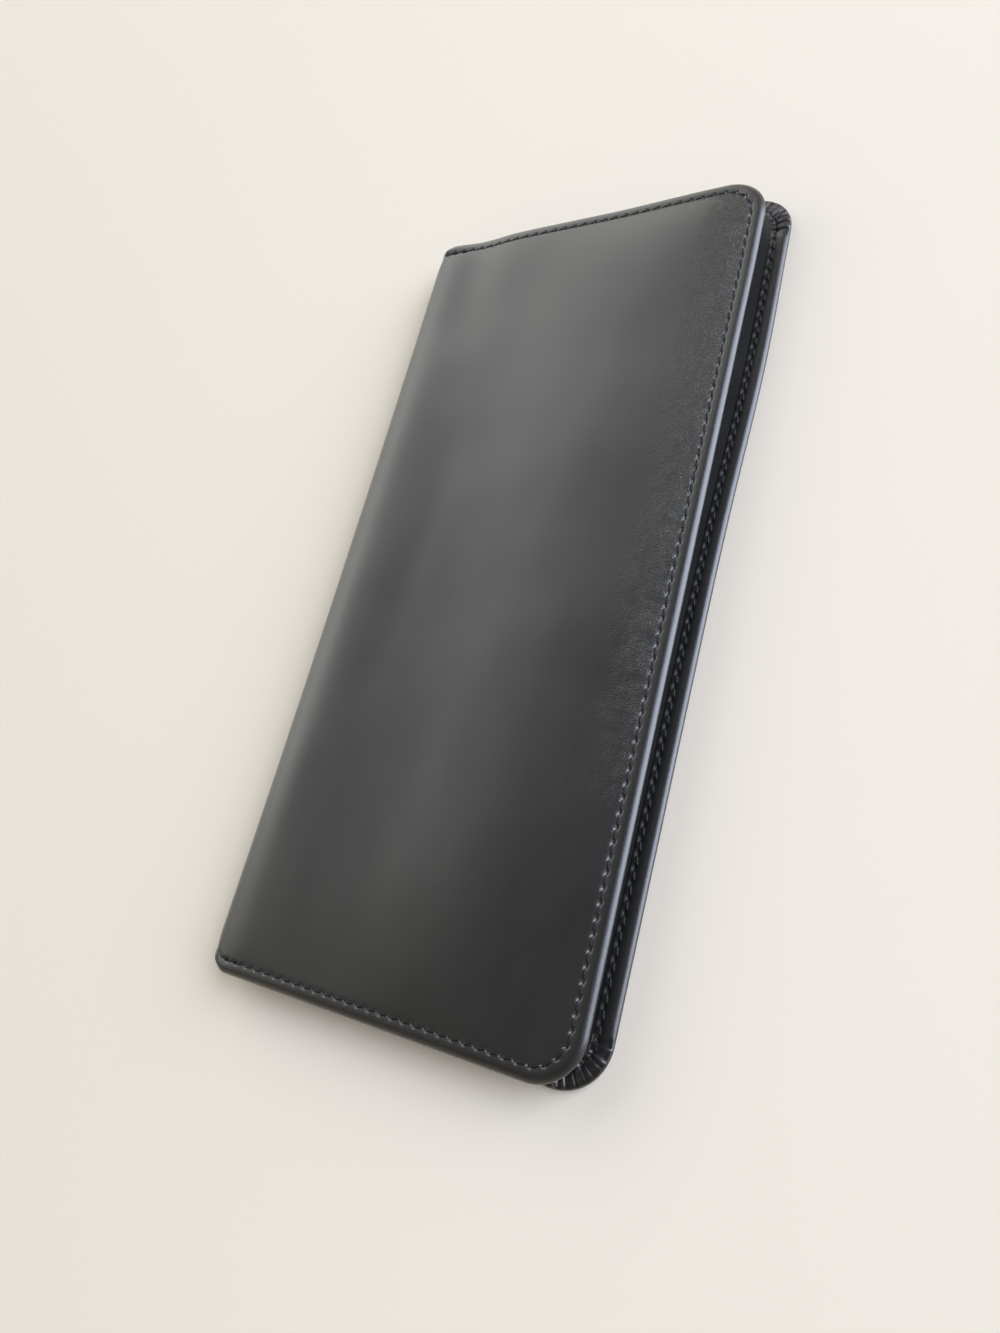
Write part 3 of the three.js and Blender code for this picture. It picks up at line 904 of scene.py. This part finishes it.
pocketSheet = {
    # the mesh's rows along a side: close together at the mouth, and even from sideFrom to the closed end
    "mouthStops": (0, 0.08, 0.18, 0.3, 0.45, 0.7, 1.0, 1.4, 1.8, 2.0, 2.2, 2.6),
    "sideFrom": 3.0,
    "rings": (1.15, 1.0, 0.85, 0.7, 0.55, 0.4, 0.25, 0.12, 0.0),    # shares of the ramp up from the border
    "round": 0.3,           # of the mouth's edge
    "crease": 0.14, "creaseAt": 2.1, "creaseWidth": 0.3,    # a line pressed along the mouth
    "slackRamp": 14.0, "slackLength": 48.0,
    "gather": 0.35, "gatherReach": 4.0,     # of fine creases beside the seam
}


# A pocket sheet: seated along its border, swelled to its middle, with a rounded and creased mouth
def pocketPiece(name, leaf, cut, toSheet, node):
    reach, half, radius = cut["reach"], cut["half"], cut["radius"]
    sides = np.linspace(pocketSheet["sideFrom"], reach - radius, cut["sideSteps"] + 1)
    stops = np.concatenate([pocketSheet["mouthStops"], sides])
    sheet = {
        "reach": reach, "half": half, "radius": radius, "stops": stops,
        "cornerSteps": cut["cornerSteps"], "endSteps": cut["endSteps"],
    }
    foot, ramp = cut["foot"], cut["ramp"]
    step, stepRamp = cut.get("step", 0.0), cut.get("stepRamp", ramp)
    insets = [foot + stepRamp * share for share in pocketSheet["rings"]]
    insets = [inset for inset in insets if inset < radius] + [foot * 0.66, foot * 0.33, 0.08, 0.0]
    top = cut["seat"] + cut["thickness"]
    middle = cut["seat"] + cut["thickness"] / 2
    profile = [(inset, cut["seat"], 1, 1) for inset in insets[:-1]] + [(0.0, middle, 1, 1)]
    profile = profile + [(inset, top, 1, 1) for inset in insets[-2::-1]]
    made = sewnSheet(sheet, profile)
    p, q, inset = made["p"], made["q"], made["inset"]
    risen = step * smooth(foot, foot + stepRamp, inset) + (1 - step) * smooth(foot, foot + ramp, inset)
    fromMouth = np.clip(p / pocketSheet["round"], 0, 1)
    upper = np.sign(made["depth"] - middle)
    full = np.sqrt(np.clip(1 - (1 - fromMouth) ** 2, 0.02, 1))
    depth = middle + (made["depth"] - middle) * full + cut["rise"] * risen
    fromCrease = (p - pocketSheet["creaseAt"]) / pocketSheet["creaseWidth"]
    crease = pocketSheet["crease"] * np.exp(-fromCrease ** 2)
    depth = depth - (upper > 0) * crease * smooth(0.5, 2.5, inset)
    slack = cut["slack"] * smooth(foot + ramp, foot + ramp + pocketSheet["slackRamp"], inset)
    depth = depth + slack * waves(p, q, pocketSheet["slackLength"], cut["seed"])
    a, v, depth = toSheet(p, q, depth)
    points = place(leaf, a, v, depth)
    mirrored = leaf["top"] != cut["turned"]
    attributes = {
        "flat": flatCoordinates(made, cut["seed"]),
        "nearSeam": pocketSheet["gather"] * np.exp(-inset / pocketSheet["gatherReach"]),
        "polish": 1 - smooth(0.3, 1.2, p),
    }
    piece = meshPiece(name, points, made["faces"], [made["mouth"]], attributes, pocketMaterial, mirrored)
    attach(piece, leaf["body"])
    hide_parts(node)
    return made


def pieceName(node):
    first, *others = node.split("_")
    return first + "".join(word.capitalize() for word in others)


slipCut = {
    "start": 3.0, "border": 3.0, "thickness": 0.6, "seat": 1.2, "rise": 1.0, "foot": 1.5, "ramp": 14.0,
    "step": 0.6, "stepRamp": 0.4,           # this share of the rise comes at once, under the hem
    "slack": 0.03,
    "sideSteps": 72, "cornerSteps": 24, "endSteps": 160, "turned": False,
}
for leaf, node in ((backLeaf, "boarding_pass_pocket"), (frontLeaf, "banknote_pocket")):
    edge = slipCut["border"]
    cut = {
        **slipCut, "reach": wallet["leafWidth"] - edge - slipCut["start"], "half": leafLength / 2 - edge,
        "radius": wallet["cornerRadius"] - edge, "seed": leaf["seed"] + 20,
    }
    begin = leaf["roll"] + slipCut["start"]
    pocketPiece(pieceName(node), leaf, cut, lambda p, q, depth, begin=begin: (p + begin, q, depth), node)
print("slip pockets made")


# Stitches round a patch's three sewn sides, on its border
def patchSeam(name, leaf, made, cut, toSheet):
    line = seamLine(made["base"], made["inward"], np.full(len(made["base"]), cut["seamInset"]))
    length = line["run"][-1] - 2 * cut["seamStart"]
    count = round(length / cut["stitch"])
    pitch = length / count
    level = cut["seat"] + cut["thickness"]
    centres = cut["seamStart"] + (np.arange(count) + 0.5) * pitch
    runs = [stitchTubes(line, centres, pitch, lambda run: np.full(run.shape, level), 1)]
    threadPiece(name, leaf, runs, toSheet, cut["turned"])


passportCut = {
    "mouth": 11.0, "half": 67.0, "centre": 41.4, "radius": 3.0,
    "reach": 83.0,          # 2 mm short of its solid, so that nothing of it shows in the closed wallet
    "thickness": 0.6, "seat": 2.85, "rise": 2.95, "foot": 3.0, "ramp": 10.0, "slack": 0.1,
    "sideSteps": 56, "cornerSteps": 16, "endSteps": 90, "turned": False, "seed": 31,
    "seamInset": 1.0, "seamStart": 1.0, "stitch": 3.0,
}


def onPassport(p, q, depth):
    return p + backLeaf["roll"] + passportCut["mouth"], q + passportCut["centre"], depth


made = pocketPiece("passportPocket", backLeaf, passportCut, onPassport, "passport_pocket")
patchSeam("passportSeamThread", backLeaf, made, passportCut, onPassport)

cardCut = {
    "left": 3.0, "right": 96.0, "bottom": -108.4, "radius": 3.0, "thickness": 0.45, "foot": 1.2, "ramp": 3.0,
    "seat": 2.85, "tierStep": 0.5, "tierRise": 0.75, "slack": 0.02,
    "sideSteps": 36, "cornerSteps": 16, "endSteps": 64, "turned": True, "firstSeed": 40,
    "depths": {"card_slot_rear": 74.0, "card_slot_middle": 60.0, "card_slot_front": 46.0},
    "seamInset": 0.6, "seamStart": 0.8, "stitch": 2.8,
}
cardWidth = cardCut["right"] - cardCut["left"]
cardMiddle = frontLeaf["roll"] + (cardCut["right"] + cardCut["left"]) / 2
for tier, (node, slotDepth) in enumerate(cardCut["depths"].items()):
    mouthAt = cardCut["bottom"] + slotDepth
    cut = {
        **cardCut, "reach": slotDepth, "half": cardWidth / 2, "seed": cardCut["firstSeed"] + tier,
        "seat": cardCut["seat"] + tier * cardCut["tierStep"], "rise": (tier + 1) * cardCut["tierRise"],
    }

    def onCards(p, q, depth, mouthAt=mouthAt):
        return q + cardMiddle, mouthAt - p, depth

    made = pocketPiece(pieceName(node), frontLeaf, cut, onCards, node)
    patchSeam(pieceName(node) + "Thread", frontLeaf, made, cut, onCards)
print("pockets and their seams made")


# Floor, light and camera

floorLook = {"colour": "#f5ebd9", "radius": 2.2}
floorMesh = bpy.data.meshes.new("floor")
around = np.linspace(0, 2 * math.pi, 128, endpoint=False)
rim = floorLook["radius"] * np.stack([np.cos(around), np.sin(around), 0 * around], 1)
floorMesh.from_pydata(rim.tolist(), [], [list(range(len(rim)))])
floor = bpy.data.objects.new("floor", floorMesh)
bpy.context.scene.collection.objects.link(floor)
# Matt pale laminate: an even warm white
floorMaterial, floorTree, floorSurface = newMaterial("paleLaminate")
fillSockets(floorTree, floorSurface, {"Base Color": linear(floorLook["colour"]), "Roughness": 0.8}, {})
floorMesh.materials.append(floorMaterial)

# Soft lamps: each stands at a heading from +X and a rise over the floor, in degrees, as far off as it says in
# metres, and faces the wallet. Bright is the face's own brightness, where 1 is a white sheet's.
lamps = {
    "rightWindow": {
        "heading": 24, "rise": 31, "distance": 3.0, "size": (3.2, 3.0), "bright": 5.9, "colour": "#dfe9ff",
    },
    "farWindow": {
        "heading": 147, "rise": 31, "distance": 3.0, "size": (4.2, 1.9), "bright": 1.6, "colour": "#fafffe",
    },
}
for name, setting in lamps.items():
    lamp = bpy.data.lights.new(name, "AREA")
    lamp.shape = "RECTANGLE"
    lamp.size, lamp.size_y = setting["size"]
    lamp.energy = setting["bright"] * math.pi * lamp.size * lamp.size_y
    lamp.color = linear(setting["colour"])[:3]
    holder = bpy.data.objects.new(name, lamp)
    heading, rise = math.radians(setting["heading"]), math.radians(setting["rise"])
    way = Vector((math.cos(rise) * math.cos(heading), math.cos(rise) * math.sin(heading), math.sin(rise)))
    holder.location = way * setting["distance"]
    holder.rotation_mode = "QUATERNION"
    holder.rotation_quaternion = way.to_track_quat("Z", "Y")
    holder.visible_camera = False
    bpy.context.scene.collection.objects.link(holder)

# Room: pale warm walls under a dimmer ceiling
room = {"wall": "#c6bba8", "wallTo": 0.15, "ceiling": "#57524a", "ceilingFrom": 0.8, "seen": "#efeae1"}
world = bpy.data.worlds.new("room")
bpy.context.scene.world = world
world.use_nodes = True
tree = world.node_tree
way = addNode(tree, "ShaderNodeTexCoord").outputs["Generated"]
upward = addNode(tree, "ShaderNodeSeparateXYZ", {}, {"Vector": way}).outputs["Z"]
stops = [(room["wallTo"], room["wall"]), (room["ceilingFrom"], room["ceiling"])]
walls = addNode(tree, "ShaderNodeValToRGB", {}, {"Fac": upward}, stops).outputs["Color"]
tree.links.new(walls, tree.nodes["Background"].inputs["Color"])
# the camera itself sees a plain pale backdrop
seen = addNode(tree, "ShaderNodeBackground", {"Color": linear(room["seen"])}).outputs[0]
fromCamera = addNode(tree, "ShaderNodeLightPath").outputs["Is Camera Ray"]
light = tree.nodes["Background"].outputs[0]
mixed = addNode(tree, "ShaderNodeMixShader", {}, {0: fromCamera, 1: light, 2: seen}).outputs[0]
tree.links.new(mixed, tree.nodes["World Output"].inputs["Surface"])

# The photograph's viewpoint, in metres from the wallet's origin
view = {
    "place": (0.1288, -0.0866, 0.1961), "forward": (-0.523, 0.2625, -0.811), "up": (-0.085, 0.931, 0.356),
    "focalPixels": 931.0, "imageHeight": 1333.0, "sensor": 36.0,
}
camera = bpy.data.objects.new("camera", bpy.data.cameras.new("camera"))
bpy.context.scene.collection.objects.link(camera)
ahead = Vector(view["forward"]).normalized()
right = ahead.cross(Vector(view["up"])).normalized()
above = right.cross(ahead)
turn = Matrix((right, above, -ahead)).transposed().to_4x4()
camera.matrix_world = Matrix.Translation(view["place"]) @ turn
camera.data.sensor_width = view["sensor"]
camera.data.lens = view["sensor"] * view["focalPixels"] / view["imageHeight"]
camera.data.clip_start = 0.01
bpy.context.scene.camera = camera
bpy.context.scene.view_settings.view_transform = "Standard"
print("floor, light and camera set")
